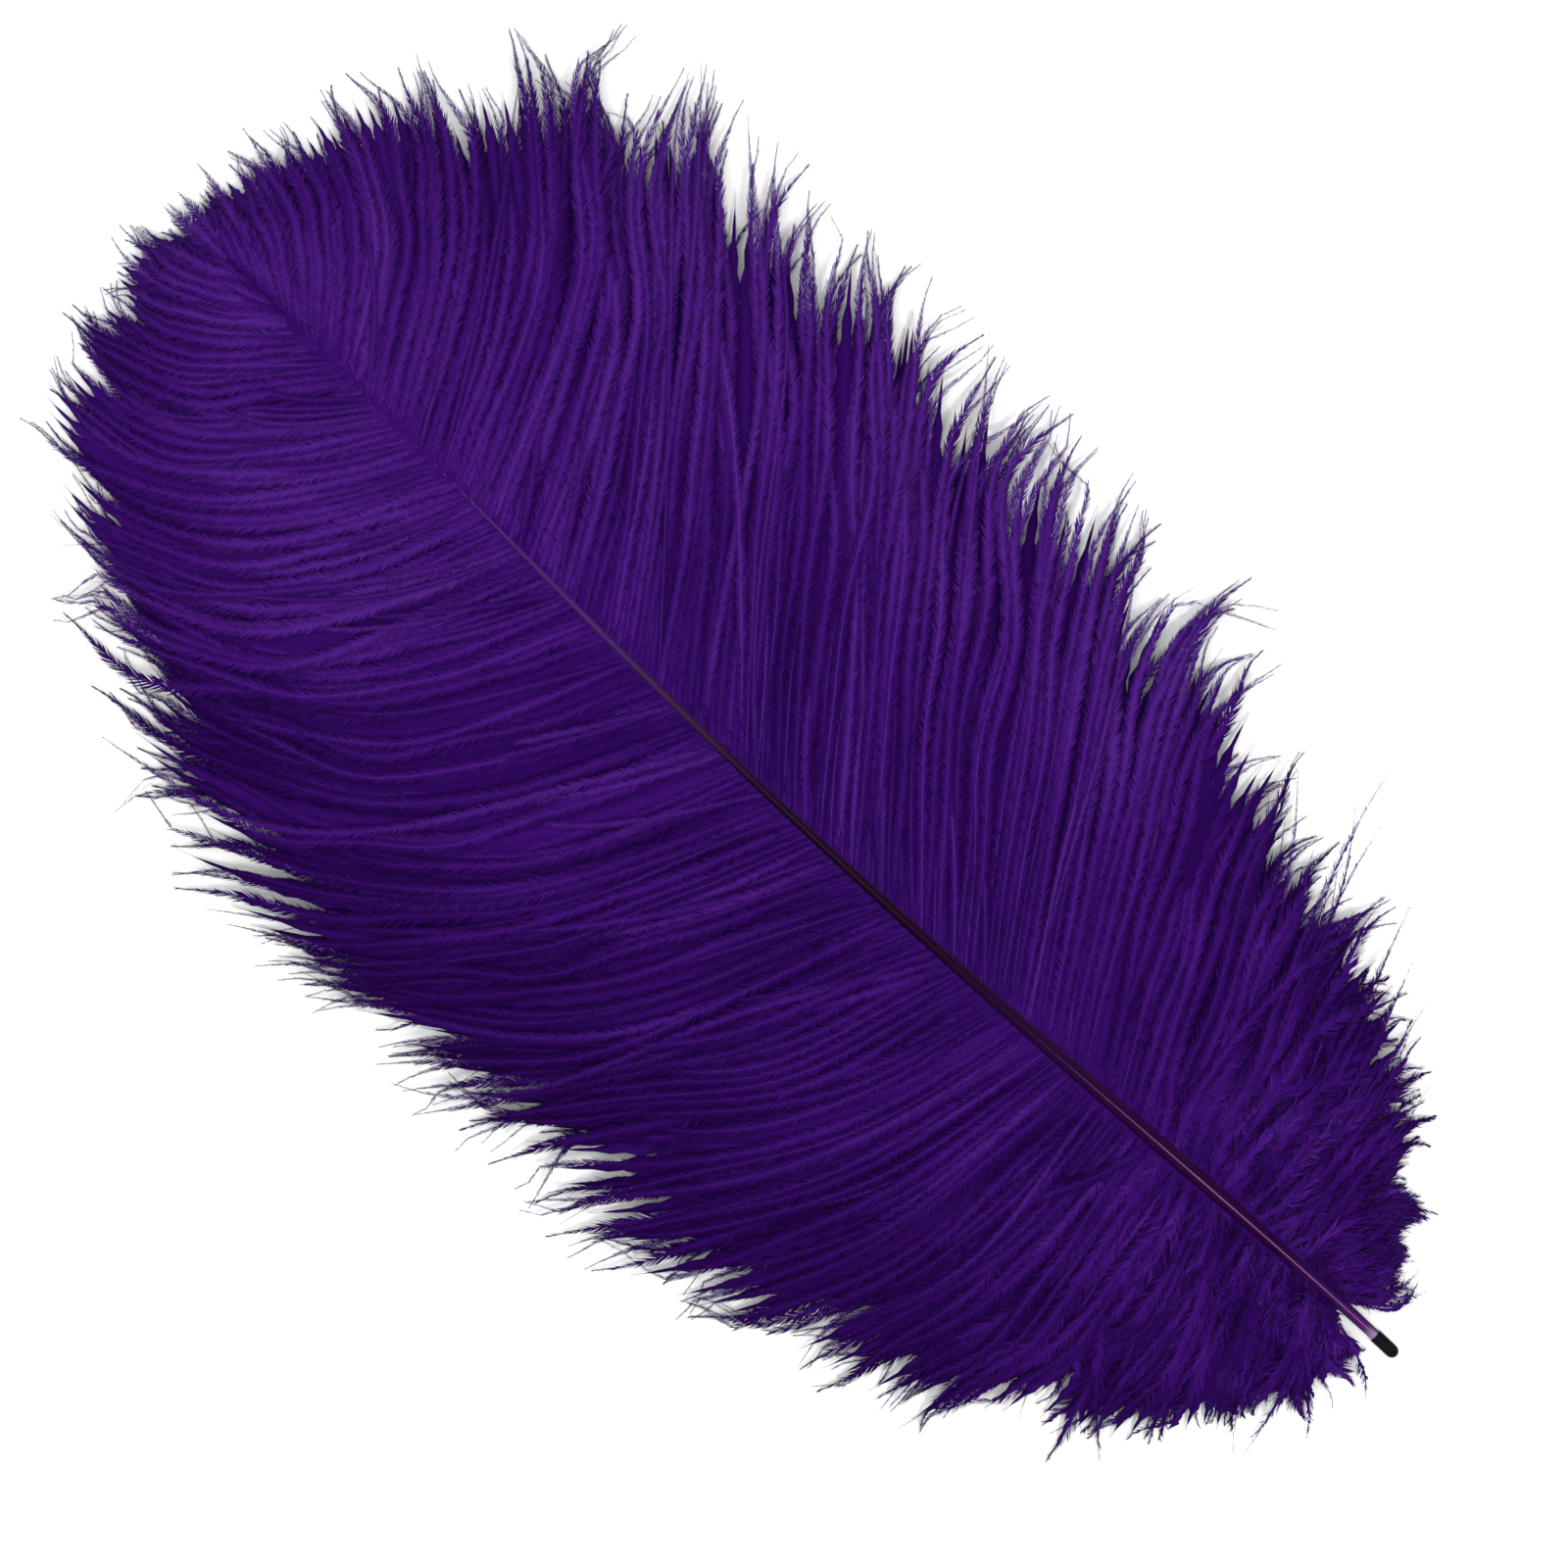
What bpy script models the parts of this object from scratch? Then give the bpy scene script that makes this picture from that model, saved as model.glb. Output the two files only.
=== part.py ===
"""A violet-dyed ostrich feather lying on a surface, glossy side up, with a black cap on its quill.

The feather is laid out along its shaft: distance along the shaft from the quill end runs towards +X, and
+Z is up. Each side of the shaft carries a row of tapering locks of barbs, fused to it. At the end the
whole is moved so that its box is centred on the origin and stands on Z = 0.
"""

import math
import random

import bmesh
import bpy
from mathutils import Matrix, Vector

MM = 0.001
GAP = 0.3 * MM

# The shaft, from the cut end of the quill to its fine tip.
SHAFT_LENGTH = 325 * MM
SHAFT_START = 1.3 * MM
SHAFT_SIDES = 10
SHAFT_STATIONS = 26
SHAFT_HEIGHT_SHARE = 0.88
STUB_RADIUS = 0.8 * MM
STRAIGHT_LENGTH = 8 * MM
BOW = 4.2 * MM
BOW_POWER = 1.5
# Distance along the shaft, the shaft's width and the height of its axis, in millimetres.
SHAFT_KEYS = (
    (0, 2.3, 1.4),
    (8, 2.35, 1.5),
    (30, 3.2, 3.2),
    (60, 3.75, 6.8),
    (130, 2.5, 12.6),
    (200, 1.75, 13.6),
    (270, 1.1, 10.8),
    (325, 0.5, 6.6),
)

# The black cap: a cup with a rounded closed end.
CAP_LENGTH = 6.0 * MM
CAP_RADIUS = 1.4 * MM
CAP_WALL = 0.3 * MM
CAP_ROUNDING_STEPS = 4
CAP_SIDES = 16

# The locks of barbs. Rows: distance of the root along the shaft in millimetres, heading at the root and at
# the tip in degrees off the shaft's own direction, length and full width in millimetres. A heading turns
# from the root's to the tip's with a power of the share of the length, so that most of the turn comes late.
LOCKS_PER_SIDE = 36
LOCK_KEYS_NEAR = (
    (18, 120, 150, 18, 12),
    (28, 110, 138, 33, 14),
    (40, 104, 112, 47, 15),
    (56, 97, 88, 66, 14),
    (76, 90, 64, 87, 13),
    (100, 74, 40, 106, 12),
    (130, 63, 28, 122, 11),
    (160, 60, 18, 130, 10),
    (190, 66, 2, 125, 10),
    (220, 66, -4, 110, 9),
    (250, 66, -6, 94, 9),
    (280, 60, -6, 74, 9),
    (304, 48, 0, 47, 9),
    (321, 14, 4, 21, 8),
)
LOCK_KEYS_FAR = (
    (18, 112, 136, 14, 10),
    (28, 98, 120, 28, 13),
    (40, 84, 98, 48, 14),
    (60, 66, 84, 68, 14),
    (80, 58, 76, 90, 13),
    (100, 53, 68, 106, 12),
    (130, 48, 58, 120, 11),
    (160, 48, 54, 127, 10),
    (190, 51, 47, 126, 10),
    (220, 58, 40, 113, 9),
    (250, 66, 32, 95, 9),
    (280, 64, 22, 73, 9),
    (304, 50, 14, 46, 9),
    (321, 16, 6, 21, 8),
)
HEADING_POWER = 1.6
FIRST_ROOT = 18 * MM
LAST_ROOT = 321 * MM
LENGTH_SPREAD = 0.07
HEADING_SPREAD = 3.0
SEED = 11

LOCK_RINGS = 7
LOCK_ROOT_SHARE = 0.75
LOCK_SWELL_END = 0.3
LOCK_TAPER_START = 0.66
LOCK_THICKNESS = 4.0 * MM
LOCK_ROOT_THICKNESS = 1.5 * MM
LOCK_TIP_THICKNESS = 0.8 * MM
LOCK_LIFT = 5.0 * MM
LOCK_DROOP_POWER = 1.7
LOCK_STAGGER = 0.9 * MM
TIP_WIDTH = 0.7 * MM

BARB_COLOUR = (0.052, 0.008, 0.17, 1.0)
CAP_COLOUR = (0.008, 0.008, 0.009, 1.0)


def clear_scene():
    for old in list(bpy.data.objects):
        bpy.data.objects.remove(old, do_unlink=True)


def new_collection(name):
    collection = bpy.data.collections.new(name)
    bpy.context.scene.collection.children.link(collection)
    return collection


def new_material(name, colour, roughness):
    material = bpy.data.materials.new(name)
    material.use_nodes = True
    shader = material.node_tree.nodes["Principled BSDF"]
    shader.inputs["Base Color"].default_value = colour
    shader.inputs["Roughness"].default_value = roughness
    shader.inputs["Metallic"].default_value = 0.0
    return material


def values_at(keys, distance):
    """Values of a key table at a distance, on one smooth curve through its rows."""
    last = len(keys) - 2
    index = 0
    while index < last and distance > keys[index + 1][0]:
        index += 1
    before = keys[max(index - 1, 0)]
    low = keys[index]
    high = keys[index + 1]
    after = keys[min(index + 2, last + 1)]
    span = high[0] - low[0]
    share = min(max((distance - low[0]) / span, 0.0), 1.0)
    values = []
    for column in range(1, len(low)):
        slope_low = (high[column] - before[column]) / (high[0] - before[0]) * span
        slope_high = (after[column] - low[column]) / (after[0] - low[0]) * span
        rise = high[column] - low[column]
        cubic = slope_low + slope_high - 2 * rise
        square = 3 * rise - 2 * slope_low - slope_high
        values.append(low[column] + share * (slope_low + share * (square + share * cubic)))
    return values


def shaft_width(distance):
    return values_at(SHAFT_KEYS, distance / MM)[0] * MM


def shaft_point(distance):
    """The shaft's axis: a slight bow to +Y, and an arch over the surface."""
    travel = max(distance - STRAIGHT_LENGTH, 0.0) / (SHAFT_LENGTH - STRAIGHT_LENGTH)
    bow = BOW * max(math.sin(math.pi * min(travel, 1.0)), 0.0) ** BOW_POWER
    height = values_at(SHAFT_KEYS, distance / MM)[1] * MM
    if distance < STRAIGHT_LENGTH:
        height = SHAFT_KEYS[0][2] * MM
    return Vector((distance, bow, height))


def loft(name, rings, tip, collection):
    """A closed body through rings of equal size, capped at its start and drawn to a point at its end."""
    shape = bmesh.new()
    loops = [[shape.verts.new(point) for point in ring] for ring in rings]
    count = len(loops[0])
    for first, second in zip(loops, loops[1:]):
        for corner in range(count):
            following = (corner + 1) % count
            shape.faces.new((first[corner], first[following], second[following], second[corner]))
    shape.faces.new(list(reversed(loops[0])))
    point = shape.verts.new(tip)
    for corner in range(count):
        shape.faces.new((loops[-1][corner], loops[-1][(corner + 1) % count], point))
    bmesh.ops.triangulate(shape, faces=shape.faces[:])
    bmesh.ops.recalc_face_normals(shape, faces=shape.faces[:])
    mesh = bpy.data.meshes.new(name)
    shape.to_mesh(mesh)
    shape.free()
    body = bpy.data.objects.new(name, mesh)
    collection.objects.link(body)
    return body


def oval_ring(centre, width, height):
    ring = []
    for corner in range(SHAFT_SIDES):
        angle = 2 * math.pi * corner / SHAFT_SIDES
        ring.append(centre + Vector((0, math.cos(angle) * width / 2, math.sin(angle) * height / 2)))
    return ring


def make_shaft(collection):
    """The quill and shaft, with a thinner stub at the start that stands inside the cap."""
    shoulder = CAP_LENGTH + GAP
    rings = []
    for distance in (SHAFT_START, shoulder):
        rings.append(oval_ring(shaft_point(distance), 2 * STUB_RADIUS, 2 * STUB_RADIUS))
    for station in range(SHAFT_STATIONS):
        distance = shoulder + (SHAFT_LENGTH - shoulder) * station / SHAFT_STATIONS
        width = shaft_width(distance)
        rings.append(oval_ring(shaft_point(distance), width, width * SHAFT_HEIGHT_SHARE))
    return loft("feather", rings, shaft_point(SHAFT_LENGTH), collection)


def lock_rows(keys, seed):
    """The locks of one side: root distance, root and tip headings, length, width and stagger of each."""
    draw = random.Random(seed)
    rows = []
    for index in range(LOCKS_PER_SIDE):
        root = FIRST_ROOT + (LAST_ROOT - FIRST_ROOT) * index / (LOCKS_PER_SIDE - 1)
        root_heading, tip_heading, length, width = values_at(keys, root / MM)
        root_heading += draw.uniform(-HEADING_SPREAD, HEADING_SPREAD) / 2
        tip_heading += draw.uniform(-HEADING_SPREAD, HEADING_SPREAD)
        length *= 1 + draw.uniform(-LENGTH_SPREAD, LENGTH_SPREAD)
        stagger = LOCK_STAGGER if index % 2 else -LOCK_STAGGER
        rows.append((root, root_heading, tip_heading, length * MM, width * MM, stagger))
    return rows


def lock_width(share, full_width):
    """Width of a lock at a share of its length: narrow at the root, full in the middle, then pointed."""
    swell = min(share / LOCK_SWELL_END, 1.0)
    width = full_width * (LOCK_ROOT_SHARE + (1 - LOCK_ROOT_SHARE) * swell)
    if share > LOCK_TAPER_START:
        taper = (share - LOCK_TAPER_START) / (1 - LOCK_TAPER_START)
        width = TIP_WIDTH + (width - TIP_WIDTH) * (1 - taper ** 1.5)
    return width


def lock_thickness(share):
    if share < LOCK_SWELL_END:
        rise = share / LOCK_SWELL_END
        return LOCK_ROOT_THICKNESS + (LOCK_THICKNESS - LOCK_ROOT_THICKNESS) * rise
    fall = (share - LOCK_SWELL_END) / (1 - LOCK_SWELL_END)
    return LOCK_THICKNESS + (LOCK_TIP_THICKNESS - LOCK_THICKNESS) * fall ** 1.5


def make_lock(name, row, side, collection):
    """One lock: a flattened body that leaves the shaft, arches, and comes down to the surface."""
    root, root_heading, tip_heading, length, width, stagger = row
    start = shaft_point(root)
    place = start.copy()
    step = length / LOCK_RINGS
    rings = []
    for index in range(LOCK_RINGS + 1):
        share = index / LOCK_RINGS
        heading = math.radians(root_heading + (tip_heading - root_heading) * share ** HEADING_POWER)
        across = Vector((-math.sin(heading), side * math.cos(heading), 0))
        thickness = lock_thickness(share)
        low_end = LOCK_TIP_THICKNESS / 2
        droop = share ** LOCK_DROOP_POWER
        lift = (LOCK_LIFT + stagger) * math.sin(math.pi * share ** 0.8)
        place.z = start.z + (low_end - start.z) * droop + lift
        half = across * lock_width(share, width) / 2
        top = Vector((0, 0, thickness / 2))
        bottom = Vector((0, 0, -min(thickness / 2, place.z)))
        if index < LOCK_RINGS:
            rings.append([place + half, place + top, place - half, place + bottom])
            ahead = (share + 0.5 / LOCK_RINGS) ** HEADING_POWER
            middle = math.radians(root_heading + (tip_heading - root_heading) * ahead)
            place = place + Vector((math.cos(middle), side * math.sin(middle), 0)) * step
    return loft(name, rings, place, collection)


def make_feather(collection, cutters):
    """The shaft with every lock joined to it by one union."""
    feather = make_shaft(collection)
    for side, keys, word in ((1, LOCK_KEYS_NEAR, "near"), (-1, LOCK_KEYS_FAR, "far")):
        for number, row in enumerate(lock_rows(keys, SEED + side)):
            lock = make_lock("lock_%s_%02d" % (word, number + 1), row, side, cutters)
            lock.hide_render = True
            lock.display_type = "WIRE"
    union = feather.modifiers.new("join_locks", "BOOLEAN")
    union.operation = "UNION"
    union.solver = "EXACT"
    union.operand_type = "COLLECTION"
    union.collection = cutters
    feather.data.materials.append(new_material("barbs", BARB_COLOUR, 0.8))
    return feather


def cap_profile():
    """Half section of the cap, from the outer rim round the closed end to the inner rim."""
    inner = CAP_RADIUS - CAP_WALL
    floor = SHAFT_START - GAP
    points = [(CAP_RADIUS, CAP_LENGTH)]
    for step in range(CAP_ROUNDING_STEPS + 1):
        angle = math.pi / 2 * step / CAP_ROUNDING_STEPS
        points.append((CAP_RADIUS * math.cos(angle), CAP_RADIUS * (1 - math.sin(angle))))
    points[-1] = (0.0, 0.0)
    points += [(0.0, floor), (inner, floor), (inner, CAP_LENGTH)]
    return points


def make_cap(collection):
    """A turned cup on the quill's end, its axis along the shaft."""
    shape = bmesh.new()
    corners = [shape.verts.new((radius, 0, height)) for radius, height in cap_profile()]
    for first, second in zip(corners, corners[1:] + corners[:1]):
        shape.edges.new((first, second))
    mesh = bpy.data.meshes.new("quill_cap")
    shape.to_mesh(mesh)
    shape.free()
    cap = bpy.data.objects.new("quill_cap", mesh)
    collection.objects.link(cap)
    turn = cap.modifiers.new("turn", "SCREW")
    turn.steps = CAP_SIDES
    turn.render_steps = CAP_SIDES
    turn.use_merge_vertices = True
    turn.merge_threshold = 0.00001
    turn.use_normal_calculate = True
    cap.rotation_euler = (0, math.pi / 2, 0)
    cap.location = (0, 0, SHAFT_KEYS[0][2] * MM)
    cap.data.materials.append(new_material("quill_cap", CAP_COLOUR, 0.45))
    return cap


def evaluated_box(parts):
    """Lowest and highest corners of the finished parts."""
    bpy.context.view_layer.update()
    graph = bpy.context.evaluated_depsgraph_get()
    points = []
    for part in parts:
        solid = part.evaluated_get(graph)
        points += [solid.matrix_world @ vertex.co for vertex in solid.data.vertices]
    low = Vector([min(point[axis] for point in points) for axis in range(3)])
    high = Vector([max(point[axis] for point in points) for axis in range(3)])
    return low, high


def centre_on_origin(parts, guides):
    """Move everything so that the box's bottom centre is the origin."""
    low, high = evaluated_box(parts)
    shift = Matrix.Translation((-(low.x + high.x) / 2, -(low.y + high.y) / 2, -low.z))
    for part in list(parts) + list(guides):
        part.matrix_world = shift @ part.matrix_world


def main():
    clear_scene()
    parts = new_collection("ostrich_feather")
    cutters = new_collection("feather_locks")
    feather = make_feather(parts, cutters)
    cap = make_cap(parts)
    centre_on_origin([feather, cap], cutters.objects)


main()
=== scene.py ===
"""Looks of a violet-dyed ostrich feather: shaft, cap, and nearly eight hundred barbs with their barbules.

The barbs follow the same key tables as the solid locks, so they fill the locks' outline. A length is in
metres once it has been multiplied by MM. A heading is an angle in degrees off the shaft's own direction.
A root is the distance along the shaft, from the quill's end, at which a barb leaves it.
"""

import math
import random

import bpy
import numpy as np
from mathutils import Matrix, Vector


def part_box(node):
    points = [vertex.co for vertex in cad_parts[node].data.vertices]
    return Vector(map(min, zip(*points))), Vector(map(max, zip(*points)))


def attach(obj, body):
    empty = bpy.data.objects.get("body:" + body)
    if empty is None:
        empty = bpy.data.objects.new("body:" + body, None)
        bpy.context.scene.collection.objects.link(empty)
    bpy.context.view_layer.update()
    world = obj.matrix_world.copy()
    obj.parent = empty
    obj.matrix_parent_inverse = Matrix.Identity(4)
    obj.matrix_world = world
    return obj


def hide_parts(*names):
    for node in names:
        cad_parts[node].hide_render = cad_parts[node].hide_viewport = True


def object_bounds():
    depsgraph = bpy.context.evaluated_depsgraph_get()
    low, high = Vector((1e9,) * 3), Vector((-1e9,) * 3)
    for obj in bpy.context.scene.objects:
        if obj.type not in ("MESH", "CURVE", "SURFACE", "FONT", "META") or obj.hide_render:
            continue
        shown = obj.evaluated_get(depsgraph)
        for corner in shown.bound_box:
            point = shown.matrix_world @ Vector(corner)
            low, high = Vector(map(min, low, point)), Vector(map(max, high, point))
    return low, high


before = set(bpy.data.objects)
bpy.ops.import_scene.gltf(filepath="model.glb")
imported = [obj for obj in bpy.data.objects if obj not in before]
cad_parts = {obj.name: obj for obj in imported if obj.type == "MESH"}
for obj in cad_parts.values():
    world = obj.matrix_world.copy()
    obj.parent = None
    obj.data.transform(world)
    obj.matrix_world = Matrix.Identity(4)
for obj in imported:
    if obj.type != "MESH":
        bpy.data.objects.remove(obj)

MM = 0.001
CAD_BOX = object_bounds()
QUILL_LOW, QUILL_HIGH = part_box("quill_cap")

# The photograph's frame: its width and the quill's end in pixels, the direction of the tip in it, and the
# size of one pixel on the feather at the barbs' mean height.
FRAME_PIXELS = 1600
QUILL_PIXEL = (1427, 1385)
TIP_DIRECTION_PIXEL = (-0.7292, -0.6843)
PIXEL = 0.2 * MM
MEAN_HEIGHT = 4 * MM

# The camera, in millimetres.
LENS = 100.0
SENSOR = 36.0

# The shaft, as in the solids. Rows: distance along it, width and height of its axis, in millimetres.
SHAFT_LENGTH = 325 * MM
SHAFT_HEIGHT_SHARE = 0.88
STRAIGHT_LENGTH = 8 * MM
BOW = 4.2 * MM
BOW_POWER = 1.5
SHAFT_KEYS = (
    (0, 2.3, 1.4),
    (8, 2.35, 1.5),
    (30, 3.2, 3.2),
    (60, 3.75, 6.8),
    (130, 2.5, 12.6),
    (200, 1.75, 13.6),
    (270, 1.1, 10.8),
    (325, 0.5, 6.6),
)
CAP_LENGTH = 6.0 * MM
CAP_OVERLAP = 1.5 * MM

# The shaft's mesh, and the groove below it: its depth in half widths, its half angle, and where it sets in.
SHAFT_SIDES = 24
SHAFT_RINGS = 170
SHAFT_END_WIDTH = 0.1 * MM
GROOVE_DEPTH = 0.22
GROOVE_ANGLE = 0.45
GROOVE_START = 20 * MM
GROOVE_RISE = 30 * MM

# The two sides of the vane. In the photograph the near one is at the lower left.
NEAR = 1
FAR = -1

# The locks' courses, as in the solids. Rows: root, headings at root and tip, and length, in millimetres.
LOCKS_PER_SIDE = 36
LOCK_KEYS_NEAR = (
    (18, 120, 150, 18),
    (28, 110, 138, 33),
    (40, 104, 112, 47),
    (56, 97, 88, 66),
    (76, 90, 64, 87),
    (100, 74, 40, 106),
    (130, 63, 28, 122),
    (160, 60, 18, 130),
    (190, 66, 2, 125),
    (220, 66, -4, 110),
    (250, 66, -6, 94),
    (280, 60, -6, 74),
    (304, 48, 0, 47),
    (321, 14, 4, 21),
)
LOCK_KEYS_FAR = (
    (18, 112, 136, 14),
    (28, 98, 120, 28),
    (40, 84, 98, 48),
    (60, 66, 84, 68),
    (80, 58, 76, 90),
    (100, 53, 68, 106),
    (130, 48, 58, 120),
    (160, 48, 54, 127),
    (190, 51, 47, 126),
    (220, 58, 40, 113),
    (250, 66, 32, 95),
    (280, 64, 22, 73),
    (304, 50, 14, 46),
    (321, 16, 6, 21),
)
HEADING_POWER = 1.6
FIRST_ROOT = 18 * MM
LAST_ROOT = 321 * MM
LENGTH_SPREAD = 0.07
HEADING_SPREAD = 3.0
LOCK_SEED = 11
LOCK_LIFT = 5.0 * MM
LOCK_DROOP_POWER = 1.7

# Where the down's disorder has faded, and over what length it does.
WILD_END = 95 * MM
WILD_FADE = 70 * MM

# Rises and falls along the shaft: the root where each begins and the length that it takes, in millimetres.
MIDDLE_RISE = (50, 30)
MIDDLE_FALL = (180, 60)
COVER_RISE = (200, 100)
END_SHADE_RISE = (230, 30)
TONE_RISE = (170, 100)
MOST_COVER = 0.8

# Points of a barb's course, and where it leaves the shaft's axis, in shaft widths: how far aside and up,
# and what a cover of 1 adds to each.
PATH_POINTS = 33
ROOT_ASIDE = 0.38
ROOT_ASIDE_COVERED = -0.30
ROOT_RISE = 0.12
ROOT_RISE_COVERED = 0.36

# A barb's height at its tip and at the lowest, the shares of its course by which its own offset has set in
# and from which its end curls, and what stays free between the courses and the sides of the solids' box.
TIP_HEIGHT = 0.8 * MM
LOWEST_HEIGHT = 0.4 * MM
OFFSET_SHARE = 0.2
CURL_START = 0.8
EDGE_ROOM = 0.5 * MM

# Crowding of the roots: samples of the vane's fan, how many of them are blurred, and the crowding's range
# and power.
FAN_SAMPLES = 300
FAN_BLUR = 21
CROWD_RANGE = (0.7, 2.2)
CROWD_POWER = 0.7

# What neighbouring barbs share: an S, a ripple and a lean. Each wave has a swing in degrees, cycles and a
# phase, as the mean and how much it changes, and the spacings of those changes along the shaft.
S_WAVE = ((8, 5), (1.05, 0.3), (0.0, 0.14))
S_SPACINGS = (16 * MM, 40 * MM, 22 * MM)
RIPPLE_WAVE = ((5, 12), (2.7, 0.8), (0.0, 0.5))
RIPPLE_SPACINGS = (5 * MM, 30 * MM, 7 * MM)

# The lean's degrees at root and tip, and the spacing of its changes.
LEANS = (3, 9)
LEAN_SPACING = 26 * MM

# Barbs. A top barb is complete and lies in view, an under barb fills the space between and below.
BARB_SEED = 29
BARBS_PER_SIDE = 256
PIECES_PER_SIDE = 3
TOP_PATTERN = (1, 1, 0, 1, 1, 0, 1)
ROOT_JITTER = 0.3

# Lengths of barbs, in lengths of locks: the mean, what a few clumps have more, the longest of the vane and
# of the strays, and what a barb loses for each degree that it turns outwards.
MEAN_STRETCH = 1.01
EXTRA_STRETCH = 0.08
LONGEST_STRETCH = 1.13
LONGEST_STRAY = 1.05
OUTWARD_LOSS = 0.009

# For a top and an under barb: its part in the neighbours' turns and waves, how strongly its end is drawn to
# its clump, the mean and spread of its height off the course, and its barbules. Lengths are in millimetres.
TURN_PARTS = (1.0, 0.2)
WAVE_PARTS = (1.0, 0.4)
TOP_PULL = (0.65, 0.97)
UNDER_PULL = (0.0, 0.3)
EARLY_PULL = 0.22
TOP_OFFSET = (0.9, 0.35)
UNDER_OFFSET = (-0.9, 0.5)
BARBULE_SPACINGS = (0.27, 0.36)
BARBULE_WIDTHS = (0.33, 0.64)
BARBULE_FULLNESS = (1.0, 1.45)

# Tones of the vane: at the quill, what is added towards the tip, how much clumps and barbs differ, and the
# painted shade taken off the under barbs, which lie below the top ones.
VANE_TONE = 0.33
TIP_TONE = 0.34
CLUMP_TONE_SPREAD = 0.08
BARB_TONE_SPREAD = 0.07
UNDER_PAINTED_SHADE = 0.2

# Clumps, on each side: shares of their sizes, the end of a barb over which it joins its clump, in
# millimetres, and how much their lengths differ.
CLUMP_SIZES = (2, 3, 4, 5, 7)
CLUMP_SHARES = {NEAR: (0.36, 0.30, 0.20, 0.10, 0.04), FAR: (0.20, 0.25, 0.25, 0.20, 0.10)}
CLUMP_ENDS = {NEAR: (7, 20), FAR: (10, 30)}
CLUMP_SPREADS = {NEAR: 0.05, FAR: 0.07}

# The rest that differs between the sides: strays, spread of the tips' turns in degrees, what is added to
# the lengths of under barbs and ribbons, and a painted sheen.
STRAYS = {NEAR: 54, FAR: 42}
TIP_TURN_SPREADS = {NEAR: 6.0, FAR: 4.5}
UNDER_EXTRAS = {NEAR: 0.03, FAR: 0.0}
RIBBON_EXTRAS = {NEAR: 0.03, FAR: 0.0}
PAINTED_SHEENS = {NEAR: 0.22, FAR: 0.0}

# How far the barbs' ends curl outwards, in degrees: the least, what is added in the middle, its rise and
# its fall.
CURLS = {NEAR: (6, 8, (60, 40), (180, 60)), FAR: (4, 26, (40, 40), (190, 60))}

# How much darker the barbs get towards their ends, as tone: everywhere, in the middle part, and how many
# millimetres further up the shaft that part lies. Then what is added towards the tip. On the near side this
# is painted shade, where layers of barbs shade each other; the far side's middle gets paler instead.
END_SHADES = {NEAR: (0.05, 0.4, -5), FAR: (0.0, -0.72, 15)}
END_SHADE_AT_TIP = 0.22

# Matted undercoat: overlapping ribbons halfway down, so that no light comes through between the barbs. They
# stand for the lower barbs and are dark with painted shade.
RIBBONS_PER_SIDE = 130
RIBBON_LENGTHS = (0.88, 0.97)
RIBBON_HALF_WIDTH = 2.1 * MM
RIBBON_SAG = 0.5 * MM
RIBBON_TOOTH = 0.22
RIBBON_ROOT_WIDTH = 0.75
RIBBON_ROOT_SHARE = 0.12
RIBBON_POINT_START = 0.72
RIBBON_ROOM = 4 * MM
RIBBON_UNDER_SHAFT = 1.2 * MM

# Spines and barbules. The barbules' angles off the barb are in degrees, from the base to the bend and
# beyond it.
SPINE_ROOT_RADIUS = 0.17 * MM
SPINE_TIP_RADIUS = 0.02 * MM
SPINE_POWER = 1.1
BARBULE_LENGTH = 2.7 * MM
BARBULE_LENGTHS = (0.75, 1.2)
BARBULE_CROWDING = 1.15
BARBULE_ANGLE = (46, 6)
BARBULE_END_ANGLE = (24, 8)
BARBULE_RISE = (-0.02, 0.12)
BARBULE_FALL = (-0.34, 0.15)
LEAST_SWELL = 0.7
SWELL_LENGTH = 12 * MM
LEAST_TAPER = 0.3
TAPER_LENGTH = 18 * MM
TAPER_SHARE = 0.35
MATTING_ANGLE = 26
MATTING_LENGTH = 7 * MM
SURFACE_CLEARANCE = 0.12 * MM

# The colour map has one row for each tone of barbule, and then one for each tone of spine.
TONES = 16
SPINE_TONES = 4
SPINE_TONE_SHARES = (0.36, 0.30, 0.20, 0.14)
MAP_EDGE = 0.01
ROW_EDGE = 0.1

# The stage.
FLOOR_HALF = 6.0
ROOM_STRENGTH = 0.55


def even(low, high):
    """A way to draw evenly between two values."""
    return lambda draw, count: draw.uniform(low, high, count)


def inward(low, high):
    """A way to draw evenly between two turns towards the shaft."""
    return lambda draw, count: -draw.uniform(low, high, count)


def normal(mean, deviation):
    """A way to draw around a mean."""
    return lambda draw, count: draw.normal(mean, deviation, count)


def always(value):
    """In place of a way to draw, one value for all."""
    return lambda draw, count: value


# Loose barbs. Roots, offset, spacing and width are in millimetres, the turns and the swing in degrees.
DOWN = {
    "count": 44,
    "roots": (18, 70),
    "in_order": True,
    "root_turn": normal(0, 12),
    "tip_turn": normal(8, 38),
    "stretch": even(0.45, 0.95),
    "swing": even(8, 30),
    "cycles": even(0.6, 1.6),
    "offset": even(-1.0, 2.6),
    "tone": normal(0.40, 0.20),
    "spacing": 0.24,
    "width": 0.22,
    "fullness": even(0.9, 1.3),
}

# The last barbs, which close the vane in front of the shaft's end.
TUFT = {
    "count": 9,
    "roots": (304, 324),
    "in_order": False,
    "root_turn": inward(0, 14),
    "tip_turn": inward(0, 12),
    "stretch": even(0.85, 1.1),
    "swing": even(-6, 8),
    "cycles": even(0.5, 1.0),
    "offset": even(-1.0, 1.0),
    "tone": normal(0.6, 0.1),
    "spacing": 0.24,
    "width": 0.3,
    "fullness": always(1.0),
}

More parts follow.
